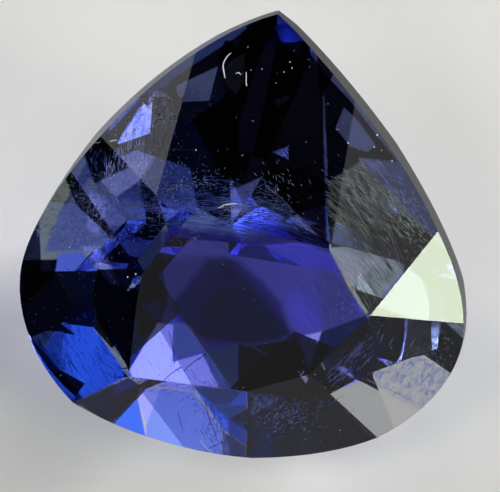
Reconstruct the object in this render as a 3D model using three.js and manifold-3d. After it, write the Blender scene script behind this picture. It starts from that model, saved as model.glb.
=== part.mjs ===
// A pear cut iolite, about 8 mm long, as one faceted solid that lies on one of its pavilion facets.
// Sizes are in millimetres and angles in degrees. The stone is first cut in its own axes: X across,
// Y towards the point and Z out of the table, with Z = 0 at the girdle. Directions are measured in
// plan from +X towards +Y.
import * as THREE from "three";
import { mergeVertices } from "three/addons/utils/BufferGeometryUtils.js";
import Module from "manifold-3d";

const wasm = await Module();
wasm.setup();

// Heights of the stone's storeys.
const TABLE_HEIGHT = 1.0;
const GIRDLE_FOOT = -0.35;
const CULET_DEPTH = 3.49;
const CULET = [-0.64, -0.17];

// The pear outline: its four extremes, how its curves leave the point, and how long each handle is.
const POINT = [0.06, 4.7];
const RIGHT_MOST = [3.65, -0.45];
const LOWEST = [-0.1, -3.15];
const LEFT_MOST = [-3.95, -0.35];
const POINT_ANGLE_RIGHT = 56;
const POINT_ANGLE_LEFT = 70;
const HANDLES = {
  pointRight: 1.6,
  rightUp: 1.65,
  rightDown: 1.05,
  lowestRight: 2.85,
  lowestLeft: 1.5,
  leftDown: 2.0,
  leftUp: 1.25,
  pointLeft: 2.2,
};
const CURVE_STEPS = 24;

// Corners of the table, clockwise from the upper right.
const TABLE = {
  upperRight: [1.38, 1.02],
  right: [2.14, 0.0],
  lowerRight: [1.2, -1.17],
  bottom: [0.17, -1.6],
  lowerLeft: [-1.85, -1.58],
  left: [-1.97, -0.1],
  leftShoulder: [-1.75, 0.26],
  upperLeft: [-1.68, 0.99],
};

// Crown facets below an edge of the table: the edge's two corners, and how high over the girdle
// the facet runs out where the outline bulges furthest its way.
const EDGE_FACETS = [
  [TABLE.upperRight, TABLE.right, 0.08],
  [TABLE.right, TABLE.lowerRight, -0.28],
  [TABLE.lowerRight, TABLE.bottom, -0.18],
  [TABLE.bottom, TABLE.lowerLeft, 0.03],
  [TABLE.lowerLeft, TABLE.left, 0.08],
  [TABLE.left, TABLE.leftShoulder, 0.35],
  [TABLE.leftShoulder, TABLE.upperLeft, 0.1],
];

// Crown facets that hang from one corner of the table: the corner, the direction and the run-out height.
const CORNER_FACETS = [
  [TABLE.right, 20, 0.07],
  [TABLE.lowerLeft, 178, 0.07],
  [TABLE.upperLeft, 116, 0.03],
  [TABLE.upperRight, 91, -0.15],
  [TABLE.upperRight, 58, -0.01],
];

// Pavilion mains, which meet at the culet: the direction and the run-out height. The stone rests on the first.
const MAINS = [
  [-89, -1.31],
  [-0.5, -0.84],
  [38, -0.57],
  [140, -1.59],
  [179, -1.23],
  [-135.5, -1.8],
];

// Facets that touch the foot of the girdle: the direction and the slope from the girdle plane.
const BREAKS = [
  [-113, 54.5],
  [-69, 51],
  [-38.5, 49],
  [0, 51.5],
  [32, 43.5],
  [44.5, 39.5],
  [61.5, 49],
  [120.5, 47],
  [128.5, 47],
  [165.5, 47],
  [193.5, 48],
  [227, 52],
];

// How far the laid-down stone is turned, so that its point lies towards the back.
const VIEW_TURN = -22;

const IOLITE_VIOLET = 0x2b2a72;
const CUTTER_SIZE = 30;

const outline = pearOutline();
const restFacet = mainFacet(MAINS[0]);

// One cubic curve between two places, from the handle at each end.
function cubic(from, fromHandle, toHandle, to) {
  const a = new THREE.Vector2(...from);
  const d = new THREE.Vector2(...to);
  const b = a.clone().add(new THREE.Vector2(...fromHandle));
  const c = d.clone().add(new THREE.Vector2(...toHandle));
  return new THREE.CubicBezierCurve(a, b, c, d);
}

// A handle that runs down from the point, to the right (side 1) or to the left (side -1).
function fromPoint(length, degreesFromAxis, side) {
  const angle = THREE.MathUtils.degToRad(degreesFromAxis);
  return [side * length * Math.sin(angle), -length * Math.cos(angle)];
}

function pearOutline() {
  const h = HANDLES;
  const rightHandle = fromPoint(h.pointRight, POINT_ANGLE_RIGHT, 1);
  const leftHandle = fromPoint(h.pointLeft, POINT_ANGLE_LEFT, -1);
  const curves = [
    cubic(POINT, rightHandle, [0, h.rightUp], RIGHT_MOST),
    cubic(RIGHT_MOST, [0, -h.rightDown], [h.lowestRight, 0], LOWEST),
    cubic(LOWEST, [-h.lowestLeft, 0], [0, -h.leftDown], LEFT_MOST),
    cubic(LEFT_MOST, [0, h.leftUp], leftHandle, POINT),
  ];
  return curves.flatMap((curve) => curve.getPoints(CURVE_STEPS).slice(1)).reverse();
}

function solidOf(geometry) {
  const bare = geometry.clone();
  bare.deleteAttribute("normal");
  bare.deleteAttribute("uv");
  const merged = mergeVertices(bare, 1e-5);
  return new wasm.Manifold(
    new wasm.Mesh({
      numProp: 3,
      vertProperties: merged.attributes.position.array,
      triVerts: new Uint32Array(merged.index.array),
    }),
  );
}

function geometryOf(solid) {
  const mesh = solid.getMesh();
  const geometry = new THREE.BufferGeometry();
  geometry.setAttribute("position", new THREE.BufferAttribute(mesh.vertProperties, 3));
  geometry.setIndex(new THREE.BufferAttribute(mesh.triVerts, 1));
  const flat = geometry.toNonIndexed();
  flat.computeVertexNormals();
  return flat;
}

// The rough blank: the outline carried from below the culet to above the table.
function blank() {
  const below = CULET_DEPTH + 1;
  const geometry = new THREE.ExtrudeGeometry(new THREE.Shape(outline), {
    depth: below + TABLE_HEIGHT + 1,
    bevelEnabled: false,
  });
  geometry.translate(0, 0, -below);
  return solidOf(geometry);
}

function heading(direction) {
  const angle = THREE.MathUtils.degToRad(direction);
  return new THREE.Vector2(Math.cos(angle), Math.sin(angle));
}

// How far the outline reaches in a direction.
function reach(towards) {
  return Math.max(...outline.map((place) => place.dot(towards)));
}

// A facet's plane, facing outwards: it slopes from a place at one height to another height at the
// outline's bulge. The face looks up on the crown and down on the pavilion.
function facet(direction, place, height, runOut) {
  const towards = heading(direction);
  const run = reach(towards) - place.dot(towards);
  const rise = Math.abs(height - runOut);
  const up = Math.sign(height - runOut) * run;
  const normal = new THREE.Vector3(towards.x * rise, towards.y * rise, up).normalize();
  const corner = new THREE.Vector3(place.x, place.y, height);
  return new THREE.Plane().setFromNormalAndCoplanarPoint(normal, corner);
}

function cornerFacet([corner, direction, runOut]) {
  return facet(direction, new THREE.Vector2(...corner), TABLE_HEIGHT, runOut);
}

function edgeFacet([from, to, runOut]) {
  const outwards = Math.atan2(to[0] - from[0], from[1] - to[1]);
  return cornerFacet([from, THREE.MathUtils.radToDeg(outwards), runOut]);
}

function mainFacet([direction, runOut]) {
  return facet(direction, new THREE.Vector2(...CULET), -CULET_DEPTH, runOut);
}

function breakFacet([direction, slope]) {
  const towards = heading(direction);
  const tilt = THREE.MathUtils.degToRad(slope);
  const flat = towards.clone().multiplyScalar(Math.sin(tilt));
  const normal = new THREE.Vector3(flat.x, flat.y, -Math.cos(tilt));
  const bulge = towards.clone().multiplyScalar(reach(towards));
  const foot = new THREE.Vector3(bulge.x, bulge.y, GIRDLE_FOOT);
  return new THREE.Plane().setFromNormalAndCoplanarPoint(normal, foot);
}

function allFacets() {
  return [
    new THREE.Plane(new THREE.Vector3(0, 0, 1), -TABLE_HEIGHT),
    ...EDGE_FACETS.map(edgeFacet),
    ...CORNER_FACETS.map(cornerFacet),
    ...MAINS.map(mainFacet),
    ...BREAKS.map(breakFacet),
  ];
}

// A block whose lower face lies on the facet, with the block on the outer side.
function cutterFor(plane) {
  const geometry = new THREE.BoxGeometry(CUTTER_SIZE, CUTTER_SIZE, CUTTER_SIZE);
  geometry.translate(0, 0, CUTTER_SIZE / 2);
  const upright = new THREE.Vector3(0, 0, 1);
  geometry.applyQuaternion(new THREE.Quaternion().setFromUnitVectors(upright, plane.normal));
  const place = plane.coplanarPoint(new THREE.Vector3());
  geometry.translate(place.x, place.y, place.z);
  return solidOf(geometry);
}

function cutStone() {
  return allFacets().reduce((stone, plane) => stone.subtract(cutterFor(plane)), blank());
}

// Lays the stone on its resting facet, turns it and sets it on the ground, centred on the origin.
function layDown(geometry) {
  const down = new THREE.Vector3(0, 0, -1);
  geometry.applyQuaternion(new THREE.Quaternion().setFromUnitVectors(restFacet.normal, down));
  geometry.rotateZ(THREE.MathUtils.degToRad(VIEW_TURN));
  geometry.computeBoundingBox();
  const box = geometry.boundingBox;
  const centre = box.getCenter(new THREE.Vector3());
  geometry.translate(-centre.x, -centre.y, -box.min.z);
}

const geometry = geometryOf(cutStone());
layDown(geometry);

const stone = new THREE.Mesh(
  geometry,
  new THREE.MeshStandardMaterial({ color: IOLITE_VIOLET, roughness: 0.04, metalness: 0 }),
);
stone.name = "pear_cut_iolite";

const group = new THREE.Group();
group.add(stone);

export default group;
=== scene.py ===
"""Dresses a pear cut iolite that lies on a pale ground, and sets its camera and soft studio light.

The solid keeps the shape that the model gives it. This script gives it its see-through violet-blue,
the painted light and shade on its crown, the veil of fine inclusions inside it and the lint and dust
that lie on it. Sizes are in millimetres until a mesh is made, which is in metres.
"""

from __future__ import annotations

import logging
import math
import random
from collections.abc import Callable
from dataclasses import dataclass, field
from enum import Enum

import bmesh
import bpy
from mathutils import Matrix, Quaternion, Vector
from mathutils.bvhtree import BVHTree


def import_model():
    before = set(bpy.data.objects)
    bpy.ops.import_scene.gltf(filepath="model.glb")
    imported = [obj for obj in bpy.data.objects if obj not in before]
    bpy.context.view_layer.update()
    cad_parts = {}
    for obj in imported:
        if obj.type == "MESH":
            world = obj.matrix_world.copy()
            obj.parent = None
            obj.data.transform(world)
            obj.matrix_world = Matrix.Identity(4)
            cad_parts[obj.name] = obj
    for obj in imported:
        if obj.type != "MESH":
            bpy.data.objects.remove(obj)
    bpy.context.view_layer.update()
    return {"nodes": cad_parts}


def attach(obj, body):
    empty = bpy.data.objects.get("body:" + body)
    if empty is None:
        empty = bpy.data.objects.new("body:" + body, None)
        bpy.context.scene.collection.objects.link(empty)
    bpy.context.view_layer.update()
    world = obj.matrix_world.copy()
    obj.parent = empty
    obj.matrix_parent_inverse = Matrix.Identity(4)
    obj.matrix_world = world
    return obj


LOG = logging.getLogger("iolite")
MM = 0.001
MICRON = 1e-6
STONE_NODE = "pear_cut_iolite"
BODY = "root"
IMAGE_WIDTH, IMAGE_HEIGHT = 500, 492
IOLITE_IOR = 1.545
# How far a facet faces out of the table, at the least, on the table and on the crown.
TABLE_FACES, CROWN_FACES = 0.985, 0.1

Colour = tuple[float, float, float, float]
Pixels = tuple[tuple[float, float], ...]
Socket = bpy.types.NodeSocket


def srgb(code: str) -> Colour:
    """Turns an sRGB hex colour into linear light.

    Args:
        code: Six hex digits, such as "5E6E68".

    Returns:
        Red, green, blue and an alpha of 1.
    """
    parts = [int(code[i : i + 2], 16) / 255 for i in (0, 2, 4)]
    linear = [p / 12.92 if p <= 0.04045 else ((p + 0.055) / 1.055) ** 2.4 for p in parts]
    return (*linear, 1.0)


def add_node(
    material: bpy.types.Material,
    kind: str,
    inputs: dict[int | str, object] | None = None,
    **settings: object,
) -> bpy.types.Node:
    """Adds one node to a material with its settings and links.

    Args:
        material: The material whose tree gets the node.
        kind: The node's type, without the words ShaderNode.
        inputs: Input number or name, and the socket that feeds it or its constant value.
        settings: The node's own properties.

    Returns:
        The new node.
    """
    node = material.node_tree.nodes.new("ShaderNode" + kind)
    for key, value in settings.items():
        setattr(node, key, value)
    for key, value in (inputs or {}).items():
        if isinstance(value, Socket):
            material.node_tree.links.new(value, node.inputs[key])
        else:
            node.inputs[key].default_value = value
    return node


def new_material(name: str) -> tuple[bpy.types.Material, bpy.types.Node, bpy.types.Node]:
    """Makes an empty node material.

    Args:
        name: The material's name.

    Returns:
        The material, its surface shader and its output node.
    """
    material = bpy.data.materials.new(name)
    material.use_nodes = True
    nodes = material.node_tree.nodes
    return material, nodes["Principled BSDF"], nodes["Material Output"]


def squared(code: str) -> Colour:
    """Gives the base colour whose one crossing has a tint, as a crossing takes its square root."""
    return tuple(part * part for part in srgb(code))


def heading(azimuth: float, elevation: float) -> Vector:
    """Gives a direction from its azimuth, from +X towards +Y, and its elevation, in degrees."""
    around, up = math.radians(azimuth), math.radians(elevation)
    return Vector((math.cos(around) * math.cos(up), math.sin(around) * math.cos(up), math.sin(up)))


@dataclass(frozen=True)
class CutAxes:
    """The directions that the facets are counted from: out of the table, and towards the point."""

    table_azimuth: float = 249.0
    table_elevation: float = 53.9
    point_azimuth: float = 67.8
    point_elevation: float = 36.1

    @property
    def table(self) -> Vector:
        """The direction straight out of the table."""
        return heading(self.table_azimuth, self.table_elevation)

    @property
    def point(self) -> Vector:
        """The direction of the pear's point, level with the girdle."""
        out = heading(self.point_azimuth, self.point_elevation)
        return (out - self.table * out.dot(self.table)).normalized()

    @property
    def side(self) -> Vector:
        """The direction of the pear's right side, level with the girdle."""
        return self.point.cross(self.table)


@dataclass(frozen=True)
class Mottled:
    """A plain rough material whose colour wanders between two tones."""

    name: str
    light: str
    dark: str
    patch_mm: float
    roughness: float
    detail: float = 3.0
    tone_edges: tuple[float, float] = (0.3, 0.7)
    specular: float = 0.5

    def material(self) -> bpy.types.Material:
        """Builds the material.

        Returns:
            The material.
        """
        material, shader, _ = new_material(self.name)
        place = add_node(material, "TexCoord").outputs["Object"]
        scale = 1 / (self.patch_mm * MM)
        cloud = add_node(material, "TexNoise", {"Vector": place, "Scale": scale, "Detail": self.detail})
        tint = add_node(material, "ValToRGB", {"Fac": cloud.outputs["Fac"]})
        for stop, edge, tone in zip(tint.color_ramp.elements, self.tone_edges, (self.dark, self.light)):
            stop.position = edge
            stop.color = srgb(tone)
        material.node_tree.links.new(tint.outputs["Color"], shader.inputs["Base Color"])
        shader.inputs["Roughness"].default_value = self.roughness
        shader.inputs["Specular IOR Level"].default_value = self.specular
        return material


@dataclass(frozen=True)
class PaleGround(Mottled):
    """Matt white paper board, which lies under the stone.

    Its fibres are too fine to show, so its mottle is drawn coarser than the real one.
    """

    name: str = "matt_white_paper_board"
    light: str = "E9E8E6"
    dark: str = "E2E1E0"
    patch_mm: float = 1.5
    roughness: float = 0.9
    detail: float = 5.0
    tone_edges: tuple[float, float] = (0.0, 1.0)
    specular: float = 0.1


@dataclass
class PhotoCamera:
    """A long lens that looks down on the stone from the side of its round end.

    The azimuth is 0 when the camera looks along +Y, and grows towards -X. The frame's width is
    measured where the camera aims.
    """

    azimuth: float = -0.347
    elevation: float = 71.452
    roll: float = -14.055
    distance_mm: float = 110.0
    frame_width_mm: float = 8.446
    aim_mm: tuple[float, float, float] = (0.34, 0.061, 3.1)
    sensor_mm: float = 36.0
    right: Vector = field(init=False)
    up: Vector = field(init=False)
    back: Vector = field(init=False)
    eye: Vector = field(init=False)

    def __post_init__(self) -> None:
        """Works out the camera's axes and place."""
        azimuth, elevation = math.radians(self.azimuth), math.radians(self.elevation)
        flat = math.cos(elevation)
        self.back = Vector(
            (math.sin(azimuth) * flat, -math.cos(azimuth) * flat, math.sin(elevation))
        )
        level = Vector((0, 0, 1)).cross(self.back).normalized()
        turn = Quaternion(self.back, math.radians(self.roll))
        self.right = turn @ level
        self.up = self.back.cross(self.right)
        self.eye = (Vector(self.aim_mm) + self.back * self.distance_mm) * MM

    def build(self) -> bpy.types.Object:
        """Makes the camera and gives it to the scene.

        Returns:
            The camera's object.
        """
        data = bpy.data.cameras.new("photo_camera")
        data.sensor_width = self.sensor_mm
        data.lens = self.sensor_mm * self.distance_mm / self.frame_width_mm
        data.clip_start = 0.01
        data.clip_end = 5.0
        camera = bpy.data.objects.new("photo_camera", data)
        axes = Matrix((self.right, self.up, self.back)).transposed()
        camera.matrix_world = Matrix.Translation(self.eye) @ axes.to_4x4()
        bpy.context.collection.objects.link(camera)
        bpy.context.scene.camera = camera
        return camera

    def ray(self, across: float, down: float) -> tuple[Vector, Vector]:
        """Gives the line of sight of one pixel of the frame.

        Args:
            across: Pixels from the left edge.
            down: Pixels from the top edge.

        Returns:
            Where the line starts and its direction.
        """
        scale = self.frame_width_mm / IMAGE_WIDTH * MM
        target = Vector(self.aim_mm) * MM
        target += self.right * ((across - IMAGE_WIDTH / 2) * scale)
        target -= self.up * ((down - IMAGE_HEIGHT / 2) * scale)
        return self.eye, (target - self.eye).normalized()

    def slant(self, degrees: float) -> Vector:
        """Gives the direction that runs at an angle up from the level in the photograph."""
        angle = math.radians(degrees)
        return self.right * math.cos(angle) + self.up * math.sin(angle)

    def planes(self, corners: Pixels) -> list[tuple[Vector, float]]:
        """Gives the planes through the eye that bound a shape of the frame.

        Args:
            corners: The shape's corners in pixels, in order round it.

        Returns:
            For each edge the plane's normal, which points into the shape, and its distance from
            the origin in metres.
        """
        rays = [self.ray(*corner)[1] for corner in corners]
        middle = sum(rays, Vector((0, 0, 0)))
        found = []
        for here, after in zip(rays, rays[1:] + rays[:1]):
            normal = here.cross(after).normalized()
            if normal.dot(middle) < 0:
                normal.negate()
            found.append((normal, normal.dot(self.eye)))
        return found


class TintAndShade(Enum):
    """Tints laid where light enters the stone: partly the crystal's colour, partly painted light and shade.

    Iolite is violet down one crystal direction, light blue down the next and straw down the third.
    The dark ones are painted shade, for where the light leaves through the far side instead of coming back.
    """

    CLEAR = "FFFFFF"
    STRAW = "FFF4B4"
    GREEN = "D8DC98"
    LILAC = "DCD8FF"
    SKY = "A4BCF0"
    MIST = "A4ACB0"
    ROYAL = "5090F4"
    STEEL = "687CA0"
    VIOLET = "6660B8"
    DEEP_VIOLET = "302880"
    INDIGO = "102C68"
    NIGHT = "201C24"


@dataclass(frozen=True)
class FacingTint:
    """The tint of one way of facing, and that way in plan from the right side. It carries crystal colour and
    painted light and shade alike.
    """

    direction: float
    tint: str

    @property
    def share(self) -> float:
        """The way of facing as a share of one turn round from the left side."""
        return (self.direction + 180) % 360 / 360


class Grain(Enum):
    """How fine streaks lie: degrees up from the level, and their length and width in mm."""

    SMOKE = (-5, 0.6, 0.16)
    SPECKLE = (60, 0.16, 0.09)
    UPRIGHT = (84, 0.4, 0.045)
    SINKING = (-24, 0.7, 0.07)
    STRAND = (-55, 0.7, 0.09)
    RISING = (62, 0.4, 0.08)


@dataclass(frozen=True)
class Pane:
    """A patch of painted light and shade in the mosaic that the cut shows, by its corners in the photograph.

    The corners are pixels in order round a shape that bulges outwards everywhere. A pane with a
    grain tints only its streaks and keeps what is behind it between them.
    """

    name: str
    corners: Pixels
    # The pane's tint, which paints its light and shade.
    body: TintAndShade
    grain: Grain | None = None
    blur_mm: float = 0.03


@dataclass(frozen=True)
class Mosaic:
    """The patches of painted light and shade that show through the crown, from the ones behind to the ones
    in front.
    """

    # Painted light and shade: the dark panes are painted shade, the clear and pale ones, such as the
    # flashes, glints and sparkle, painted highlights.
    panes: tuple[Pane, ...] = (
        Pane("black_crown", ((190, 118), (224, 98), (300, 60), (322, 70), (327, 246), (228, 192)),
             TintAndShade.NIGHT),
        Pane("black_crown_top", ((222, 100), (244, 52), (262, 30), (322, 70), (324, 120), (240, 128)),
             TintAndShade.NIGHT),
        Pane("blue_shoulder", ((230, 192), (262, 177), (327, 246), (222, 236)), TintAndShade.MIST),
        Pane("slate_window", ((160, 92), (205, 68), (222, 64), (223, 98), (190, 120), (170, 116)),
             TintAndShade.MIST),
        Pane("grey_chip", ((225, 68), (245, 50), (243, 82), (236, 94), (226, 84)), TintAndShade.STRAW),
        Pane("crown_rim", ((96, 146), (142, 96), (176, 82), (180, 118), (150, 170), (104, 172)),
             TintAndShade.NIGHT),
        Pane("navy_cheek", ((168, 122), (190, 119), (230, 190), (222, 214), (116, 200)), TintAndShade.STEEL),
        Pane("dusty_cheek", ((110, 160), (150, 162), (140, 180), (116, 197), (98, 178)), TintAndShade.CLEAR),
        Pane("silver_flash", ((144, 104), (168, 125), (162, 145), (150, 162), (110, 160), (122, 136)),
             TintAndShade.CLEAR),
        Pane("rim_cheek", ((58, 216), (96, 143), (110, 158), (94, 196), (78, 232), (56, 240)), TintAndShade.STEEL),
        Pane("dark_cheek", ((44, 252), (60, 212), (90, 178), (118, 200), (110, 238), (84, 250)), TintAndShade.MIST),
        Pane("pink_flash", ((87, 196), (94, 192), (106, 202), (104, 226), (97, 236), (88, 228)),
             TintAndShade.CLEAR, blur_mm=0.07),
        Pane("black_tip", ((240, 32), (276, 12), (302, 40), (324, 72), (322, 96), (256, 60)), TintAndShade.NIGHT),
        Pane("brown_tip", ((279, 20), (298, 38), (301, 58), (286, 46), (279, 34)),
             TintAndShade.STEEL, blur_mm=0.08),
        Pane("dark_shoulder", ((322, 70), (350, 100), (399, 163), (328, 182)), TintAndShade.NIGHT),
        Pane("black_upper_rim", ((168, 82), (215, 50), (262, 20), (264, 44), (224, 64), (172, 88)),
             TintAndShade.NIGHT),
        Pane("grey_shoulder", ((336, 128), (344, 108), (358, 121), (375, 145), (368, 152), (350, 146)),
             TintAndShade.MIST),
        Pane("grey_back", ((360, 158), (398, 162), (434, 234), (412, 218)), TintAndShade.MIST),
        Pane("green_cheek", ((328, 182), (362, 161), (433, 237), (366, 314), (350, 290), (329, 248)),
             TintAndShade.GREEN),
        Pane("steel_triangle", ((329, 247), (378, 262), (350, 288)), TintAndShade.STRAW),
        Pane("table_top", ((164, 240), (205, 218), (262, 215), (327, 247), (300, 266), (200, 264),
             (166, 262)),
             TintAndShade.VIOLET, blur_mm=0.08),
        Pane("table_left", ((163, 232), (198, 219), (222, 240), (205, 266), (170, 300), (161, 290)),
             TintAndShade.VIOLET, blur_mm=0.08),
        Pane("violet_heart", ((208, 258), (236, 258), (262, 280), (281, 302), (292, 336), (250, 345),
             (208, 342), (176, 322), (172, 302)),
             TintAndShade.DEEP_VIOLET, blur_mm=0.12),
        Pane("dark_heart", ((214, 292), (250, 292), (276, 318), (282, 338), (250, 344), (196, 334)),
             TintAndShade.INDIGO, blur_mm=0.12),
        Pane("blue_left_step", ((108, 228), (162, 215), (162, 262), (142, 275), (122, 252)), TintAndShade.STEEL),
        Pane("dark_left_step", ((100, 250), (112, 238), (142, 275), (124, 294), (112, 284)), TintAndShade.STEEL),
        Pane("black_rim", ((8, 260), (60, 259), (54, 276), (30, 318), (8, 326), (4, 290)), TintAndShade.NIGHT),
        Pane("navy_rim", ((55, 274), (75, 308), (38, 355), (20, 336), (18, 318)), TintAndShade.STEEL),
        Pane("slate_left", ((58, 254), (82, 252), (98, 270), (92, 295), (71, 296), (56, 273)), TintAndShade.SKY),
        Pane("violet_chip", ((71, 297), (92, 296), (98, 332), (75, 308)), TintAndShade.ROYAL),
        Pane("black_left", ((98, 268), (126, 288), (158, 321), (130, 370), (98, 324), (92, 296)),
             TintAndShade.INDIGO),
        Pane("black_wedge", ((128, 288), (150, 284), (166, 306), (160, 326), (140, 340)), TintAndShade.NIGHT),
        Pane("indigo_left_step", ((128, 292), (162, 262), (168, 306), (158, 321)), TintAndShade.INDIGO),
        Pane("pale_streak", ((83, 247), (95, 247), (108, 262), (119, 284), (112, 284)),
             TintAndShade.CLEAR, blur_mm=0.07),
        Pane("royal_lower", ((98, 333), (128, 376), (76, 403), (56, 389), (38, 354)), TintAndShade.ROYAL),
        Pane("royal_upper", ((75, 308), (97, 332), (81, 353), (38, 354)), TintAndShade.ROYAL),
        Pane("royal_rim", ((24, 332), (44, 350), (84, 398), (78, 410), (20, 370)),
             TintAndShade.INDIGO, blur_mm=0.05),
        Pane("black_foot", ((76, 402), (128, 377), (141, 385), (138, 397), (110, 425)), TintAndShade.INDIGO),
        Pane("blue_chip", ((110, 424), (138, 398), (147, 442), (138, 444)), TintAndShade.ROYAL),
        Pane("lavender_left", ((130, 370), (158, 323), (173, 325), (172, 364), (160, 386), (133, 379)),
             TintAndShade.LILAC),
        Pane("lavender_right", ((173, 362), (202, 354), (219, 388), (190, 391), (160, 386)), TintAndShade.LILAC),
        Pane("lavender_chip", ((138, 397), (142, 388), (160, 388), (146, 425)), TintAndShade.LILAC),
        Pane("indigo_step", ((174, 322), (190, 325), (204, 351), (175, 359)), TintAndShade.STEEL),
        Pane("periwinkle", ((160, 388), (193, 392), (222, 430), (221, 466), (146, 443), (146, 425)),
             TintAndShade.SKY),
        Pane("royal_foot", ((193, 386), (247, 391), (246, 446), (222, 429)), TintAndShade.ROYAL),
        Pane("slate_foot", ((222, 430), (246, 447), (246, 468), (221, 467)), TintAndShade.STEEL),
        Pane("olive_step", ((204, 352), (237, 345), (237, 389), (219, 388)), TintAndShade.STEEL),
        Pane("brown_step", ((238, 344), (252, 347), (300, 372), (325, 388), (333, 400), (318, 402),
             (248, 392), (238, 389)),
             TintAndShade.NIGHT),
        Pane("mottled_foot", ((248, 392), (318, 402), (312, 424), (298, 440), (246, 452)), TintAndShade.INDIGO),
        Pane("dark_toe", ((318, 402), (334, 400), (382, 446), (346, 464), (332, 464)), TintAndShade.STEEL),
        Pane("blue_toe", ((243, 468), (268, 425), (277, 468)), TintAndShade.ROYAL),
        Pane("steel_toe", ((276, 468), (290, 434), (312, 424), (334, 464)), TintAndShade.SKY),
        Pane("teal_edge", ((368, 316), (468, 324), (464, 380), (386, 356), (372, 331)), TintAndShade.GREEN),
        Pane("beige_lower", ((326, 384), (366, 378), (428, 414), (380, 446), (337, 406)), TintAndShade.STRAW),
        Pane("beige_upper", ((366, 378), (406, 340), (464, 376), (454, 398), (428, 416), (400, 400)),
             TintAndShade.STRAW),
        Pane("streaked_step", ((331, 384), (326, 370), (372, 331), (388, 354), (366, 378), (344, 388)),
             TintAndShade.LILAC),
        Pane("navy_step", ((321, 332), (366, 315), (372, 331), (334, 368), (326, 370), (316, 352)),
             TintAndShade.INDIGO),
        Pane("black_notch", ((252, 346), (296, 338), (309, 370), (309, 378)), TintAndShade.NIGHT),
        Pane("black_notch_right", ((309, 370), (316, 352), (331, 384), (309, 380)), TintAndShade.NIGHT),
        Pane("lavender_notch", ((298, 337), (321, 332), (309, 370)), TintAndShade.LILAC),
        Pane("silver_fade", ((110, 158), (152, 158), (142, 176), (116, 186), (100, 176)),
             TintAndShade.CLEAR, Grain.SPECKLE, blur_mm=0.12),
        Pane("pink_fringe", ((80, 192), (92, 182), (112, 196), (110, 226), (92, 240), (82, 222)),
             TintAndShade.MIST, Grain.SPECKLE, blur_mm=0.1),
        Pane("veil_band", ((112, 204), (225, 186), (262, 203), (250, 232), (150, 222), (112, 214)),
             TintAndShade.SKY, Grain.SMOKE, blur_mm=0.3),
        Pane("veil_heart", ((176, 206), (250, 200), (300, 222), (240, 236), (185, 224)),
             TintAndShade.SKY, Grain.SMOKE, blur_mm=0.2),
        Pane("veil_smudge", ((232, 208), (246, 204), (251, 214), (238, 222)),
             TintAndShade.CLEAR, Grain.SMOKE, blur_mm=0.12),
        Pane("dark_strands", ((272, 214), (327, 216), (328, 246), (290, 238)),
             TintAndShade.NIGHT, Grain.SINKING, blur_mm=0.1),
        Pane("cheek_cracks", ((332, 190), (366, 168), (428, 236), (374, 300)),
             TintAndShade.NIGHT, Grain.STRAND, blur_mm=0.2),
        Pane("foot_flecks", ((252, 396), (306, 402), (304, 432), (252, 446)),
             TintAndShade.SKY, Grain.SPECKLE, blur_mm=0.12),
        Pane("edge_flecks", ((372, 320), (412, 322), (404, 346), (380, 350)),
             TintAndShade.CLEAR, Grain.SPECKLE, blur_mm=0.12),
        Pane("small_triangle", ((274, 152), (288, 147), (288, 159)), TintAndShade.SKY),
        Pane("blue_scratch", ((275, 101), (289, 95), (288, 99), (278, 107)), TintAndShade.CLEAR, Grain.RISING),
        Pane("light_chip", ((298, 372), (303, 370), (308, 378), (306, 383)), TintAndShade.CLEAR),
        Pane("silver_marks", ((140, 108), (168, 125), (162, 145), (150, 162), (112, 160), (122, 136)),
             TintAndShade.SKY, Grain.UPRIGHT, blur_mm=0.05),
        Pane("rim_sparkle", ((152, 92), (168, 96), (176, 122), (166, 128), (150, 108)),
             TintAndShade.CLEAR, Grain.SPECKLE, blur_mm=0.1),
        Pane("step_streaks", ((328, 372), (345, 352), (372, 340), (380, 362), (362, 380), (334, 388)),
             TintAndShade.STEEL, Grain.RISING, blur_mm=0.12),
        Pane("beige_blots", ((366, 378), (406, 342), (452, 374), (440, 398), (420, 409), (400, 400)),
             TintAndShade.MIST, Grain.SPECKLE, blur_mm=0.1),
        Pane("back_glint", ((361, 160), (380, 163), (388, 176), (372, 174)),
             TintAndShade.CLEAR, Grain.STRAND, blur_mm=0.08),
        Pane("edge_mottles", ((418, 338), (462, 330), (462, 378), (448, 372)),
             TintAndShade.NIGHT, Grain.SPECKLE, blur_mm=0.1),
    )


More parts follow.
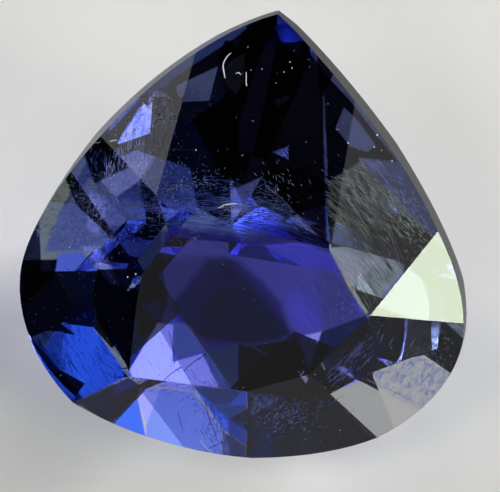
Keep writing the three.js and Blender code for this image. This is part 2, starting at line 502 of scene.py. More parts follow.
@dataclass(frozen=True)
class PolishedIolite:
    """Cordierite cut and polished on a tin lap.

    Clear and strongly coloured, so the eye sees the facets of the far side through it. The crystal
    is pleochroic, and over its colour the crown carries painted light and shade: a tint for each way
    of facing and a mosaic of patches, so one patch shows royal blue, the next grey-green or straw,
    and those towards the point nearly black violet. The girdle is painted pale on one side and dark
    round the rest, and the reflections are dimmed on all but one facet, a painted shade. The lap
    leaves a slightly waxy patch here and there, and the girdle is only ground, so it looks frosted.
    """

    camera: PhotoCamera
    name: str = "iolite_cut_and_polished"
    axes: CutAxes = field(default_factory=CutAxes)
    absorb_density: float = 320.0
    absorb_colour: tuple[float, float, float] = (0.28, 0.34, 0.69)
    waxy_patch_mm: float = 1.2
    waxy_roughness: float = 0.02
    waxy_detail: float = 3.0
    waxy_edges: tuple[float, float] = (0.55, 0.8)
    streak_detail: float = 6.0
    streak_roughness: float = 0.62
    streak_distortion: float = 0.9
    streak_edges: tuple[float, float] = (0.4, 0.62)
    girdle_roughness: float = 0.35
    # Specular tints that dim the reflections, a painted shade; one crown facet keeps its full shine.
    table_reflection_shade: str = "959595"
    girdle_reflection_shade: str = "484448"
    facet_reflection_shade: tuple[FacingTint, ...] = (
        FacingTint(-40.0, "959595"),
        FacingTint(20.0, "FFFFFF"),
        FacingTint(53.0, "959595"),
        FacingTint(174.0, "959595"),
    )
    table_tint: str = TintAndShade.VIOLET.value
    pavilion_tint: str = TintAndShade.CLEAR.value
    # Each way of facing takes one tint, partly the crystal's pleochroic colour and partly painted shade.
    facet_tints: tuple[FacingTint, ...] = (
        FacingTint(-92.0, TintAndShade.STRAW.value),
        FacingTint(-68.0, TintAndShade.STEEL.value),
        FacingTint(-40.0, TintAndShade.STRAW.value),
        FacingTint(20.0, TintAndShade.GREEN.value),
        FacingTint(53.0, TintAndShade.MIST.value),
        FacingTint(91.0, TintAndShade.STEEL.value),
        FacingTint(149.0, TintAndShade.MIST.value),
        FacingTint(178.0, TintAndShade.GREEN.value),
    )
    # The girdle is painted pale on one side and dark round the rest: painted light and shade over its frost.
    girdle_tint_and_shade: tuple[FacingTint, ...] = (
        FacingTint(-95.0, "202028"),
        FacingTint(-20.0, "202028"),
        FacingTint(40.0, "30202C"),
        FacingTint(90.0, "30202C"),
        FacingTint(130.0, "909890"),
        FacingTint(190.0, "404048"),
    )
    mosaic: Mosaic = field(default_factory=Mosaic)

    def material(self) -> bpy.types.Material:
        """Builds the stone's material.

        Returns:
            The material, with its absorption in the volume.
        """
        material, shader, output = new_material(self.name)
        links = material.node_tree.links
        tree = CrystalTree(self, material)
        inner = tree.add("BsdfPrincipled")
        roughness = tree.roughness()
        for surface in (shader, inner):
            links.new(roughness, surface.inputs["Roughness"])
            surface.inputs["Transmission Weight"].default_value = 1.0
            surface.inputs["IOR"].default_value = IOLITE_IOR
            surface.inputs["Base Color"].default_value = srgb(self.pavilion_tint)
        # The specular tint dims the reflections, a painted shade.
        links.new(tree.gloss(), shader.inputs["Specular Tint"])
        # The base colour carries the painted light and shade of the crown and the girdle.
        links.new(tree.tint(), shader.inputs["Base Color"])
        # Light takes its tint once, as it enters, and leaves through clear glass.
        leaving = tree.add("NewGeometry").outputs["Backfacing"]
        both = tree.add("MixShader", {0: leaving, 1: shader.outputs[0], 2: inner.outputs[0]})
        links.new(both.outputs[0], output.inputs["Surface"])
        absorb = tree.add("VolumeAbsorption")
        absorb.inputs["Color"].default_value = (*self.absorb_colour, 1.0)
        absorb.inputs["Density"].default_value = self.absorb_density
        links.new(absorb.outputs[0], output.inputs["Volume"])
        return material


@dataclass
class CrystalTree:
    """The shader nodes of the stone, with the sockets that many of them share.

    The place is in the frame. The turn is the way of facing, from 0 to 1 once round from the left
    side. The three masks are 1 on the table, on the crown and on everything over the pavilion.
    """

    finish: PolishedIolite
    material: bpy.types.Material
    place: Socket = field(init=False)
    up: Socket = field(init=False)
    turn: Socket = field(init=False)
    on_table: Socket = field(init=False)
    on_crown: Socket = field(init=False)
    over_pavilion: Socket = field(init=False)
    grains: dict[Grain, Socket] = field(init=False)

    def __post_init__(self) -> None:
        """Adds the nodes whose sockets are shared."""
        axes = self.finish.axes
        coordinates = self.add("TexCoord")
        self.place, normal = coordinates.outputs["Object"], coordinates.outputs["Normal"]
        side, point, self.up = (
            self.add("VectorMath", {0: normal, 1: axis}, operation="DOT_PRODUCT").outputs["Value"]
            for axis in (axes.side, axes.point, axes.table)
        )
        angle = self.add("Math", {0: point, 1: side}, operation="ARCTAN2").outputs[0]
        once_round = {"Value": angle, "From Min": -math.pi, "From Max": math.pi}
        self.turn = self.add("MapRange", once_round, clamp=False).outputs["Result"]
        self.on_table, self.on_crown, self.over_pavilion = (
            self.add("Math", {0: self.up, 1: limit}, operation="GREATER_THAN").outputs[0]
            for limit in (TABLE_FACES, CROWN_FACES, -CROWN_FACES)
        )
        self.grains = {grain: self.streaks(grain) for grain in Grain}

    def add(
        self, kind: str, inputs: dict[int | str, object] | None = None, **settings: object
    ) -> bpy.types.Node:
        """Adds one node to the stone's material, as add_node does."""
        return add_node(self.material, kind, inputs, **settings)

    def gloss(self) -> Socket:
        """Gives one crown facet its full shine and dims the reflections of the table, the girdle and the
        other crown facets, a painted shade on what they mirror.

        Returns:
            The colour's socket.
        """
        finish = self.finish
        crown = self.facet_ramp(finish.facet_reflection_shade, srgb)
        layers = [(self.on_table, srgb(finish.table_reflection_shade))]
        return self.laid(crown, layers, srgb(finish.girdle_reflection_shade), srgb(finish.pavilion_tint))

    def tint(self) -> Socket:
        """Gives the crown its mosaic of painted light and shade, over a tint for each way of facing that is
        partly the crystal's colour and partly painted shade, and the girdle its painted light and shade.

        Returns:
            The colour's socket.
        """
        finish = self.finish
        crown = self.facet_ramp(finish.facet_tints, squared)
        layers = [(self.on_table, squared(finish.table_tint))]
        layers += [(self.inside(pane), squared(pane.body.value)) for pane in finish.mosaic.panes]
        return self.laid(crown, layers, self.girdle_ramp(finish.girdle_tint_and_shade), squared(finish.pavilion_tint))

    def laid(
        self, crown: Socket, layers: list[tuple[Socket, Colour]], girdle: Socket | Colour, pavilion: Colour
    ) -> Socket:
        """Lays the crown's colours over each other, and sets the girdle and the pavilion beside them.

        Args:
            crown: What shows on the crown where no layer lies.
            layers: Masks and their colours, from the one behind to the one in front.
            girdle: The girdle's colour.
            pavilion: The pavilion's colour.

        Returns:
            The colour's socket.
        """
        for mask, colour in layers:
            crown = self.add("MixRGB", {"Fac": mask, "Color1": crown, "Color2": colour}).outputs[0]
        lower = self.add("MixRGB", {"Fac": self.over_pavilion, "Color1": pavilion, "Color2": girdle})
        both = self.add("MixRGB", {"Fac": self.on_crown, "Color1": lower.outputs[0], "Color2": crown})
        return both.outputs[0]

    def streaks(self, grain: Grain) -> Socket:
        """Gives 1 on the streaks of one grain and 0 between them.

        Args:
            grain: The grain.

        Returns:
            The streaks' socket.
        """
        finish, camera = self.finish, self.finish.camera
        degrees, length_mm, width_mm = grain.value
        along = camera.slant(degrees)
        aside = along.cross(camera.back)
        reaches = [
            self.add("VectorMath", {0: self.place, 1: axis}, operation="DOT_PRODUCT").outputs["Value"]
            for axis in (along / (length_mm * MM), aside / (width_mm * MM))
        ]
        spots = self.add("CombineXYZ", dict(enumerate(reaches)))
        cloud = {
            "Vector": spots.outputs[0],
            "Scale": 1.0,
            "Detail": finish.streak_detail,
            "Roughness": finish.streak_roughness,
            "Distortion": finish.streak_distortion,
        }
        noise = self.add("TexNoise", cloud)
        low, high = finish.streak_edges
        edges = self.add("MapRange", {"Value": noise.outputs["Fac"], "From Min": low, "From Max": high})
        return edges.outputs["Result"]

    def inside(self, pane: Pane) -> Socket:
        """Gives 1 in a pane and 0 beside it, with a slope between, or the same on its streaks alone.

        Args:
            pane: The pane.

        Returns:
            The mask's socket.
        """
        blur = pane.blur_mm * MM
        mask = 1.0
        for normal, distance in self.finish.camera.planes(pane.corners):
            reach = self.add("VectorMath", {0: self.place, 1: normal / blur}, operation="DOT_PRODUCT")
            edge = self.add("Math", {0: reach.outputs["Value"], 1: 0.5 - distance / blur}, operation="ADD")
            mask = self.add("Math", {0: edge.outputs[0], 1: mask}, operation="MINIMUM").outputs[0]
        mask = self.add("Math", {0: mask, 1: 0.0}, operation="MAXIMUM", label=pane.name).outputs[0]
        if pane.grain:
            mask = self.add("Math", {0: mask, 1: self.grains[pane.grain]}, operation="MULTIPLY").outputs[0]
        return mask

    def facet_ramp(self, tints: tuple[FacingTint, ...], encode: Callable[[str], Colour]) -> Socket:
        """Gives each way of facing one even tint.

        Args:
            tints: The tints and their ways of facing.
            encode: What turns a tint's hex code into the colour that the shader needs.

        Returns:
            The colour's socket.
        """
        node = self.add("ValToRGB", {"Fac": self.turn})
        ramp = node.color_ramp
        ramp.interpolation = "CONSTANT"
        order = sorted(tints, key=lambda facet: facet.share)
        edges = [0.0] + [(low.share + high.share) / 2 for low, high in zip(order, order[1:])]
        for edge, facet in zip(edges, order):
            stop = ramp.elements[0] if edge == 0.0 else ramp.elements.new(edge)
            stop.color = encode(facet.tint)
        ramp.elements.remove(ramp.elements[-1])
        return node.outputs["Color"]

    def girdle_ramp(self, tints: tuple[FacingTint, ...]) -> Socket:
        """Gives the girdle its painted light and shade, tints that run into each other round the stone.

        Args:
            tints: The tints and their ways of facing.

        Returns:
            The colour's socket.
        """
        node = self.add("ValToRGB", {"Fac": self.turn})
        ramp = node.color_ramp
        for tint in tints:
            ramp.elements.new(tint.share).color = squared(tint.tint)
        for end in (ramp.elements[0], ramp.elements[-1]):
            end.color = ramp.elements[1].color
        return node.outputs["Color"]

    def roughness(self) -> Socket:
        """Gives the polish its waxy patches and the girdle its frost.

        Returns:
            The roughness's socket.
        """
        finish = self.finish
        scale = 1 / (finish.waxy_patch_mm * MM)
        wax = self.add("TexNoise", {"Vector": self.place, "Scale": scale, "Detail": finish.waxy_detail})
        low, high = finish.waxy_edges
        waxy = {"From Min": low, "From Max": high, "To Max": finish.waxy_roughness}
        gloss = self.add("MapRange", {"Value": wax.outputs["Fac"], **waxy})
        upright = self.add("Math", {0: self.up}, operation="ABSOLUTE")
        ground = {"From Min": CROWN_FACES, "From Max": CROWN_FACES / 2, "To Max": finish.girdle_roughness}
        girdle = self.add("MapRange", {"Value": upright.outputs[0], **ground})
        both = {0: gloss.outputs["Result"], 1: girdle.outputs["Result"]}
        return self.add("Math", both, operation="MAXIMUM").outputs[0]


class Layer(Enum):
    """How deep under the facets something lies, in millimetres from and to."""

    FACE = (0.0, 0.0)
    SHALLOW = (0.12, 0.45)
    MIDDLE = (0.4, 1.1)

    def draw(self, dice: random.Random) -> float:
        """Draws one depth in millimetres."""
        return dice.uniform(*self.value)


@dataclass
class SightLines:
    """Finds the places on and in the stone that one pixel of the photograph shows.

    The spare is the least that is left between a place in the stone and its far side.
    """

    camera: PhotoCamera
    tree: BVHTree
    spare_mm: float = 0.05

    def on_facet(self, across: float, down: float) -> tuple[Vector, Vector] | None:
        """Finds the place and the facet's normal where a pixel meets the stone, or nothing beside it."""
        place, normal, _, _ = self.tree.ray_cast(*self.camera.ray(across, down))
        return None if place is None else (place, normal)

    def inside(self, across: float, down: float, depth_mm: float) -> Vector | None:
        """Finds the place that a pixel shows at some depth in the stone.

        Args:
            across: Pixels from the left edge.
            down: Pixels from the top edge.
            depth_mm: Distance from the facet along the bent line of sight.

        Returns:
            The place, or nothing where the pixel shows no stone that deep.
        """
        met = self.on_facet(across, down)
        if met is None:
            return None
        place, normal = met
        inward = self.bent(self.camera.ray(across, down)[1], normal)
        further = self.tree.ray_cast(place + inward * MICRON, inward)
        if further[0] is None or further[3] < (depth_mm + self.spare_mm) * MM:
            return None
        return place + inward * depth_mm * MM

    @staticmethod
    def bent(aim: Vector, normal: Vector) -> Vector:
        """Bends a line of sight as it enters the stone.

        Args:
            aim: The direction in air.
            normal: The facet's outward normal.

        Returns:
            The direction in the stone.
        """
        ratio = 1 / IOLITE_IOR
        cosine = -normal.dot(aim)
        return aim * ratio + normal * (ratio * cosine - math.sqrt(1 - ratio**2 * (1 - cosine**2)))


@dataclass(frozen=True)
class Cloud:
    """A drift of fine inclusions, by the part of the photograph that it fills.

    The centre and the half sizes are in pixels. The slant is the drift's own direction and the
    grain is the direction of the single inclusions, both in degrees up from the level.
    """

    across: float
    down: float
    half_length: float
    half_width: float
    slant: float
    grain: float
    count: int
    length_um: tuple[float, float]
    width_um: tuple[float, float]
    layer: Layer = Layer.SHALLOW
    spread: float = 12.0

    def draw(self, dice: random.Random) -> tuple[float, float]:
        """Draws one pixel of the drift, which is thickest at its centre.

        Args:
            dice: The source of random draws.

        Returns:
            Pixels from the left and from the top edge.
        """
        along = dice.gauss(0, 0.5) * self.half_length
        aside = dice.gauss(0, 0.5) * self.half_width
        angle = math.radians(self.slant)
        across = self.across + along * math.cos(angle) - aside * math.sin(angle)
        down = self.down - along * math.sin(angle) - aside * math.cos(angle)
        return across, down


@dataclass(frozen=True)
class HealedFissure(Mottled):
    """Skin of a crack that healed while the crystal grew, seen as pale dusty flecks."""

    name: str = "healed_fissure_film"
    light: str = "A4ACD8"
    dark: str = "5C68A4"
    patch_mm: float = 0.3
    roughness: float = 0.45


@dataclass(frozen=True)
class CottonLint(Mottled):
    """Fine white cotton fibre off a polishing cloth, matt and bright against the dark stone."""

    name: str = "cotton_lint_fibre"
    light: str = "F4F3F6"
    dark: str = "C6C6D2"
    patch_mm: float = 0.2
    roughness: float = 0.7


def mesh_of(shape: bmesh.types.BMesh, name: str) -> bpy.types.Mesh:
    """Turns a finished shape into a mesh and frees the shape.

    Args:
        shape: The shape.
        name: The mesh's name.

    Returns:
        The mesh.
    """
    mesh = bpy.data.meshes.new(name)
    shape.to_mesh(mesh)
    shape.free()
    return mesh


def finish_piece(name: str, mesh: bpy.types.Mesh, material: bpy.types.Material) -> bpy.types.Object:
    """Makes an object of a mesh, dresses it and lets it ride on the stone.

    Args:
        name: The piece's name.
        mesh: Its mesh, in metres in the frame's axes.
        material: Its material.

    Returns:
        The piece.
    """
    mesh.materials.clear()
    mesh.materials.append(material)
    piece = bpy.data.objects.new(name, mesh)
    bpy.context.collection.objects.link(piece)
    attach(piece, BODY)
    LOG.info("%s: %d faces", name, len(mesh.polygons))
    return piece


@dataclass
class InnerVeil:
    """The healed fissures: drifts of tiny needles and flecks under the facets."""

    sight: SightLines
    clouds: tuple[Cloud, ...]
    seed: int = 7
    flatness: float = 0.5
    name: str = "inner_veil"

    def build(self) -> bpy.types.Object:
        """Makes all the drifts as one piece.

        Returns:
            The piece.
        """
        dice = random.Random(self.seed)
        spindle = self.spindle()
        shape = bmesh.new()
        for cloud in self.clouds:
            for _ in range(cloud.count):
                self.add_one(shape, spindle, cloud, dice)
        mesh = mesh_of(shape, self.name)
        bpy.data.meshes.remove(spindle)
        return finish_piece(self.name, mesh, HealedFissure().material())

    def spindle(self) -> bpy.types.Mesh:
        """Makes one pointed spindle, one metre long along X and one metre thick."""
        shape = bmesh.new()
        bmesh.ops.create_uvsphere(shape, u_segments=4, v_segments=2, radius=0.5)
        return mesh_of(shape, "spindle")

    def add_one(
        self, shape: bmesh.types.BMesh, spindle: bpy.types.Mesh, cloud: Cloud, dice: random.Random
    ) -> None:
        """Adds one inclusion of a drift.

        Args:
            shape: The mesh that grows.
            spindle: The inclusion's form.
            cloud: The drift.
            dice: The source of random draws.
        """
        place = self.sight.inside(*cloud.draw(dice), cloud.layer.draw(dice))
        along = self.sight.camera.slant(dice.gauss(cloud.grain, cloud.spread))
        length = dice.uniform(*cloud.length_um) * MICRON
        width = dice.uniform(*cloud.width_um) * MICRON
        if place is None:
            return
        one = spindle.copy()
        aside = along.cross(self.sight.camera.back)
        size = Matrix.Diagonal((length, width, width * self.flatness, 1.0))
        turn = Matrix((along, aside, along.cross(aside))).transposed().to_4x4()
        one.transform(Matrix.Translation(place) @ turn @ size)
        shape.from_mesh(one)
        bpy.data.meshes.remove(one)


@dataclass(frozen=True)
class Thread:
    """A fine line in or on the stone, by the pixels of the photograph that it runs through."""

    path: Pixels
    thick_um: float
    layer: Layer | None = None


@dataclass
class Threads:
    """Fibres on the facets, or fine lines under them, as one piece of round threads.

    The lift of a fibre off its facet is a share of its thickness, and so is its radius at the ends.
    """

    sight: SightLines
    name: str
    threads: tuple[Thread, ...]
    material: bpy.types.Material
    seed: int = 3
    lift: float = 0.4
    end_share: float = 0.55
    thick_range: tuple[float, float] = (0.85, 1.15)

    def build(self) -> bpy.types.Object:
        """Makes all the threads as one piece.

        Returns:
            The piece.
        """
        dice = random.Random(self.seed)
        shape = bmesh.new()
        for thread in self.threads:
            mesh = self.tube(thread, dice)
            shape.from_mesh(mesh)
            bpy.data.meshes.remove(mesh)
        mesh = mesh_of(shape, self.name)
        return finish_piece(self.name, mesh, self.material)

    def places(self, thread: Thread, dice: random.Random) -> list[Vector]:
        """Finds the thread's places on or in the stone.

        Args:
            thread: The thread.
            dice: The source of random draws.

        Returns:
            The places in metres.
        """
        found = []
        depth = thread.layer.draw(dice) if thread.layer else 0.0
        for across, down in thread.path:
            if thread.layer:
                place = self.sight.inside(across, down, depth)
            else:
                met = self.sight.on_facet(across, down)
                place = met and met[0] + met[1] * thread.thick_um * self.lift * MICRON
            if place:
                found.append(place)
        return found

    def tube(self, thread: Thread, dice: random.Random) -> bpy.types.Mesh:
        """Turns one thread into a round tube with closed, thinning ends.

        Args:
            thread: The thread.
            dice: The source of random draws.

        Returns:
            The tube's mesh.
        """
        places = self.places(thread, dice)
        curve = bpy.data.curves.new("thread", "CURVE")
        curve.dimensions = "3D"
        curve.bevel_depth = thread.thick_um * 0.5 * MICRON
        curve.bevel_resolution = 1
        curve.resolution_u = 6
        curve.use_fill_caps = True
        line = curve.splines.new("NURBS")
        line.points.add(len(places) - 1)
        for index, place in enumerate(places):
            ends = index in (0, len(places) - 1)
            line.points[index].co = (*place, 1.0)
            line.points[index].radius = self.end_share if ends else dice.uniform(*self.thick_range)
        line.order_u = min(4, len(places))
        line.use_endpoint_u = True
        holder = bpy.data.objects.new("thread", curve)
        bpy.context.collection.objects.link(holder)
        mesh = bpy.data.meshes.new_from_object(holder.evaluated_get(bpy.context.evaluated_depsgraph_get()))
        bpy.data.objects.remove(holder)
        bpy.data.curves.remove(curve)
        return mesh


@dataclass(frozen=True)
class Speck:
    """A grain of dust on a facet, by its pixel of the photograph and its size."""

    across: float
    down: float
    size_um: float


@dataclass
class DustGrains:
    """Grains of dust that lie on the facets: the ones the photograph shows, and a sprinkle."""

    sight: SightLines
    specks: tuple[Speck, ...]
    sprinkle: int = 90
    sprinkle_across: tuple[float, float] = (20, 470)
    sprinkle_down: tuple[float, float] = (15, 460)
    sprinkle_um: tuple[float, float] = (6, 15)
    half_length: tuple[float, float] = (0.35, 0.7)
    half_height: float = 0.3
    seed: int = 11
    name: str = "dust_grains"

    def build(self) -> bpy.types.Object:
        """Makes all the grains as one piece.

        Returns:
            The piece.
        """
        dice = random.Random(self.seed)
        shape = bmesh.new()
        for speck in (*self.specks, *self.scattered(dice)):
            met = self.sight.on_facet(speck.across, speck.down)
            if met:
                self.add_grain(shape, met, speck.size_um * MICRON, dice)
        mesh = mesh_of(shape, self.name)
        return finish_piece(self.name, mesh, CottonLint("mineral_dust_grain").material())

    def scattered(self, dice: random.Random) -> list[Speck]:
        """Draws the sprinkle of grains over the whole frame."""
        draws = []
        for _ in range(self.sprinkle):
            across, down = dice.uniform(*self.sprinkle_across), dice.uniform(*self.sprinkle_down)
            draws.append(Speck(across, down, dice.uniform(*self.sprinkle_um)))
        return draws

    def add_grain(
        self, shape: bmesh.types.BMesh, met: tuple[Vector, Vector], size: float, dice: random.Random
    ) -> None:
        """Adds one uneven grain that touches its facet.

        Args:
            shape: The mesh that grows.
            met: The place on the facet and the facet's normal.
            size: The grain's size in metres.
            dice: The source of random draws.
        """
        place, normal = met
        lengths = (dice.uniform(*self.half_length), dice.uniform(*self.half_length), self.half_height)
        turn = normal.to_track_quat("Z", "Y") @ Quaternion((0, 0, 1), dice.uniform(0, math.tau))
        centre = place + normal * size * lengths[2]
        stretch = Matrix.Diagonal([size * length for length in lengths]).to_4x4()
        matrix = Matrix.Translation(centre) @ turn.to_matrix().to_4x4() @ stretch
        one = bmesh.new()
        bmesh.ops.create_icosphere(one, subdivisions=1, radius=1.0, matrix=matrix)
        mesh = mesh_of(one, "grain")
        shape.from_mesh(mesh)
        bpy.data.meshes.remove(mesh)


@dataclass
class Stone:
    """The cut stone itself, which keeps the model's solid."""

    node: bpy.types.Object
    finish: PolishedIolite

    def dress(self) -> None:
        """Gives the solid its material."""
        material = self.finish.material()
        if not self.node.data.materials:
            self.node.data.materials.append(material)
        for slot in self.node.material_slots:
            slot.material = material

    def tree(self) -> BVHTree:
        """Gives a search tree of the solid's facets, in metres in the frame."""
        return BVHTree.FromObject(self.node, bpy.context.evaluated_depsgraph_get())


@dataclass(frozen=True)
class Softbox:
    """A round soft lamp, far away, that faces the stone. Its radius is in degrees."""

    name: str
    azimuth: float
    elevation: float
    radiance: float
    colour: str = "FFFFFF"
    radius: float = 7.1
    distance_mm: float = 400.0

    def build(self) -> bpy.types.Object:
        """Makes the lamp.

        Returns:
            The lamp's object.
        """
        out = heading(self.azimuth, self.elevation)
        half = self.distance_mm * MM * math.tan(math.radians(self.radius))
        data = bpy.data.lights.new(self.name, "AREA")
        data.shape = "DISK"
        data.size = 2 * half
        data.color = srgb(self.colour)[:3]
        data.energy = self.radiance * 4 * math.pi * half * half
        lamp = bpy.data.objects.new(self.name, data)
        lamp.location = out * self.distance_mm * MM
        lamp.rotation_mode = "QUATERNION"
        lamp.rotation_quaternion = out.to_track_quat("Z", "Y")
        bpy.context.collection.objects.link(lamp)
        return lamp


@dataclass
class Studio:
    """The pale ground, the even surround and the soft lamps."""

    ground_half_mm: float = 300.0
    ground_drop_mm: float = 0.01
    surround: float = 0.03
    lamps: tuple[Softbox, ...] = (
        Softbox("lamp_right_low", 0.0, 3.6, 140),
        Softbox("lamp_back_left_low", 137.5, 4.1, 78.7),
        Softbox("lamp_right_mid", 7.7, 12.4, 13.9),
        Softbox("lamp_back_left_mid", 132.8, 18.5, 1.2),
        Softbox("lamp_front_mid", 270.3, 18.9, 0.654),
        Softbox("lamp_right_mid_2", 15.3, 21.5, 16.7),
        Softbox("lamp_front_left_mid", 245.5, 30.8, 0.614),
        Softbox("lamp_back_left_high", 115.6, 41.0, 1.06),
        Softbox("lamp_front_right_high", 325.7, 48.0, 1.82),
        Softbox("lamp_front_left_high", 240.7, 49.3, 1.54),
        Softbox("lamp_back_high", 70.8, 51.9, 2),
        Softbox("lamp_left_high", 175.8, 56.1, 1.51),
        Softbox("lamp_front_left_over", 228.3, 58.4, 1.38),
        Softbox("lamp_right_over", 5.9, 59.2, 1.28),
        Softbox("lamp_left_over", 195.9, 62.6, 3.42),
        Softbox("lamp_front_right_over", 333.4, 63.5, 2.53),
        Softbox("lamp_left_over_2", 163.4, 67.5, 1.34),
        Softbox("lamp_left_over_3", 183.5, 79.1, 1.48),
        Softbox("lamp_key", 317.2, 27.0, 13.2, "F2FFE3", 6.0),
    )

    def build(self) -> None:
        """Makes the ground, the surround and the lamps."""
        self.build_ground()
        self.build_surround()
        for lamp in self.lamps:
            lamp.build()

    def build_ground(self) -> None:
        """Makes the ground as one flat sheet under the stone."""
        shape = bmesh.new()
        bmesh.ops.create_grid(shape, x_segments=1, y_segments=1, size=self.ground_half_mm * MM)
        bmesh.ops.translate(shape, verts=shape.verts, vec=(0, 0, -self.ground_drop_mm * MM))
        mesh = mesh_of(shape, "ground")
        mesh.materials.append(PaleGround().material())
        ground = bpy.data.objects.new("ground", mesh)
        bpy.context.collection.objects.link(ground)

    def build_surround(self) -> None:
        """Gives the world one even soft light."""
        world = bpy.data.worlds.new("surround")
        world.use_nodes = True
        sky = world.node_tree.nodes["Background"]
        sky.inputs["Color"].default_value = srgb("FFFFFF")
        sky.inputs["Strength"].default_value = self.surround
        bpy.context.scene.world = world


def set_light_paths() -> None:
    """Lets light cross the stone often enough, and shows colours as they are."""
    scene = bpy.context.scene
    scene.view_settings.view_transform = "Standard"
    scene.cycles.max_bounces = 24
    scene.cycles.transmission_bounces = 20
    scene.cycles.glossy_bounces = 20
    scene.cycles.diffuse_bounces = 3
    scene.cycles.caustics_refractive = True
    scene.cycles.caustics_reflective = True
    scene.cycles.sample_clamp_indirect = 40.0


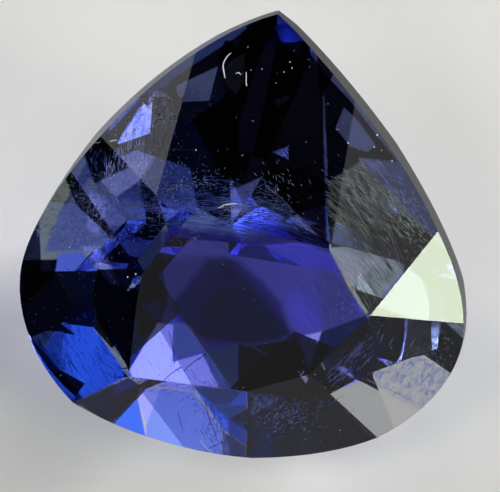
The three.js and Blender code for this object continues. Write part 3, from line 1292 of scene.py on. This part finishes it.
@dataclass(frozen=True)
class SeenInclusions:
    """The inclusions that the photograph shows, by its pixels."""

    clouds: tuple[Cloud, ...] = (
        # The dusty band that crosses the stone above the table.
        Cloud(195, 205, 130, 30, -2, -4, 900, (40, 260), (7, 14)),
        Cloud(150, 195, 60, 30, 0, 85, 260, (30, 110), (8, 16)),
        Cloud(112, 160, 55, 26, 55, 82, 260, (60, 220), (7, 14)),
        Cloud(110, 215, 60, 40, 0, 70, 300, (25, 90), (10, 22)),
        Cloud(255, 212, 45, 20, 0, 5, 200, (60, 300), (7, 13)),
        Cloud(300, 205, 35, 35, -35, -38, 220, (120, 420), (7, 12)),
        # The slanting needles that show behind the right facet.
        Cloud(365, 205, 45, 30, -35, -42, 420, (100, 520), (7, 12)),
        Cloud(405, 215, 40, 22, -50, -50, 220, (40, 140), (12, 24)),
        Cloud(350, 290, 30, 45, -50, -55, 120, (120, 480), (7, 12)),
        # The mottled dark round end, the lower right and the left rim.
        Cloud(290, 410, 45, 22, 0, 35, 260, (30, 120), (10, 18)),
        Cloud(345, 360, 40, 20, 35, 60, 160, (60, 260), (7, 13)),
        Cloud(60, 225, 20, 45, 60, 40, 160, (30, 120), (10, 20)),
        Cloud(285, 160, 40, 35, 0, -30, 120, (40, 200), (7, 12)),
        # A thin sprinkle all through the stone.
        Cloud(240, 270, 190, 190, 0, 60, 700, (15, 45), (7, 14), Layer.MIDDLE, 60),
        # Where the inclusions break the polish.
        Cloud(160, 180, 60, 34, 0, 86, 230, (12, 60), (5, 10), Layer.FACE),
        Cloud(190, 184, 60, 10, 0, 1, 90, (25, 130), (4, 8), Layer.FACE, 7),
        Cloud(228, 212, 60, 14, 4, 3, 110, (25, 150), (4, 8), Layer.FACE, 10),
        Cloud(100, 210, 40, 30, 40, 80, 130, (10, 45), (5, 10), Layer.FACE, 25),
        Cloud(150, 112, 30, 22, 45, 75, 90, (12, 50), (6, 12), Layer.FACE, 25),
        Cloud(178, 240, 30, 16, 0, 85, 60, (12, 40), (5, 9), Layer.FACE, 20),
        Cloud(360, 198, 45, 14, -30, -36, 50, (30, 260), (4, 7), Layer.FACE, 22),
        Cloud(400, 205, 36, 10, -58, -50, 60, (10, 40), (4, 8), Layer.FACE, 40),
        Cloud(350, 302, 22, 12, 55, 62, 24, (30, 160), (4, 8), Layer.FACE, 8),
        Cloud(282, 185, 30, 20, -35, -60, 36, (30, 160), (4, 8), Layer.FACE, 22),
        Cloud(285, 418, 38, 18, 0, 45, 120, (12, 80), (6, 11), Layer.FACE, 25),
        Cloud(440, 355, 26, 18, -60, -60, 70, (12, 90), (4, 8), Layer.FACE, 20),
        Cloud(58, 228, 18, 40, 60, 40, 130, (12, 60), (6, 12), Layer.FACE, 40),
        Cloud(85, 330, 60, 90, 60, 75, 60, (10, 36), (4, 8), Layer.FACE, 20),
    )
    threads: tuple[Thread, ...] = (
        Thread(
            (
                (218, 207), (222, 192), (230, 173), (242, 161), (244, 155), (250, 142),
                (260, 130), (272, 122), (280, 119), (287, 125), (290, 137),
            ),
            16, Layer.SHALLOW,
        ),
        Thread(((244, 161), (250, 168), (257, 177)), 14, Layer.SHALLOW),
        Thread(((293, 143), (300, 152), (308, 167), (311, 180)), 16, Layer.SHALLOW),
        Thread(((277, 168), (287, 174), (300, 177), (310, 182)), 15, Layer.SHALLOW),
        Thread(((267, 178), (278, 182), (290, 182), (297, 188)), 14, Layer.SHALLOW),
        Thread(((314, 177), (313, 188)), 22, Layer.SHALLOW),
        Thread(((265, 177), (265, 185), (267, 192)), 24, Layer.SHALLOW),
        Thread(((277, 190), (280, 198)), 20, Layer.SHALLOW),
        Thread(((169, 149), (183, 150), (197, 150)), 16, Layer.SHALLOW),
        Thread(((155, 185), (172, 182), (197, 184), (210, 186)), 15, Layer.SHALLOW),
        Thread(((332, 180), (345, 187), (372, 201), (400, 218)), 20, Layer.SHALLOW),
    )
    cracks: tuple[Thread, ...] = (
        Thread(((288, 214), (305, 224), (328, 234)), 12),
        Thread(((272, 230), (300, 238), (328, 250)), 10),
        Thread(((168, 293), (190, 302), (222, 312), (262, 319)), 10),
        Thread(((366, 379), (384, 388), (402, 393), (420, 405)), 10),
        Thread(((168, 331), (173, 342), (175, 364)), 16),
        Thread(((341, 192), (350, 214), (362, 236), (376, 252)), 9),
        Thread(((366, 190), (380, 214), (392, 238), (400, 262)), 10),
        Thread(((384, 218), (394, 236), (404, 262)), 8),
        Thread(((372, 176), (392, 196), (410, 214), (428, 230)), 8),
        Thread(((346, 262), (362, 278), (380, 296)), 7),
    )
    fibres: tuple[Thread, ...] = (
        Thread(((231, 53), (227, 56), (223, 63), (223, 68), (224, 72), (225, 78)), 24),
        Thread(((246, 72), (247, 77), (245, 82), (247, 86)), 22),
        Thread(((236, 74), (237, 72), (239, 72), (241, 75)), 20),
        Thread(((92, 142), (98, 143), (108, 142), (117, 140)), 20),
        Thread(((200, 440), (206, 447), (212, 453), (222, 457)), 20),
        Thread(((223, 205), (228, 204), (237, 204)), 30),
        Thread(((223, 205), (222, 207), (218, 208)), 22),
    )
    specks: tuple[Speck, ...] = (
        Speck(284, 72, 24), Speck(292, 68, 24), Speck(290, 62, 22), Speck(262, 69, 19),
        Speck(251, 70, 17), Speck(248, 47, 17), Speck(276, 83, 17), Speck(253, 121, 16),
        Speck(306, 142, 16), Speck(377, 135, 24), Speck(348, 143, 26), Speck(374, 147, 22),
        Speck(392, 161, 22), Speck(128, 277, 35), Speck(136, 274, 26), Speck(223, 206, 29),
        Speck(196, 150, 26), Speck(340, 430, 20), Speck(70, 247, 22), Speck(85, 248, 19),
    )


def main() -> None:
    """Builds everything in order."""
    logging.basicConfig(level=logging.INFO, format="%(message)s")
    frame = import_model()
    camera = PhotoCamera()
    camera.build()
    stone = Stone(frame["nodes"][STONE_NODE], PolishedIolite(camera))
    sight = SightLines(camera, stone.tree())
    stone.dress()
    LOG.info("%s dressed", STONE_NODE)
    seen = SeenInclusions()
    InnerVeil(sight, seen.clouds).build()
    rims = HealedFissure("fissure_rim", "565E88", "262C4C")
    Threads(sight, "inner_threads", seen.threads, rims.material()).build()
    cracks = HealedFissure("open_crack_with_dark_fill", "1C1638", "0C0818")
    Threads(sight, "crack_lines", seen.cracks, cracks.material()).build()
    Threads(sight, "lint_fibres", seen.fibres, CottonLint().material()).build()
    DustGrains(sight, seen.specks).build()
    Studio().build()
    set_light_paths()


if __name__ == "__main__":
    main()
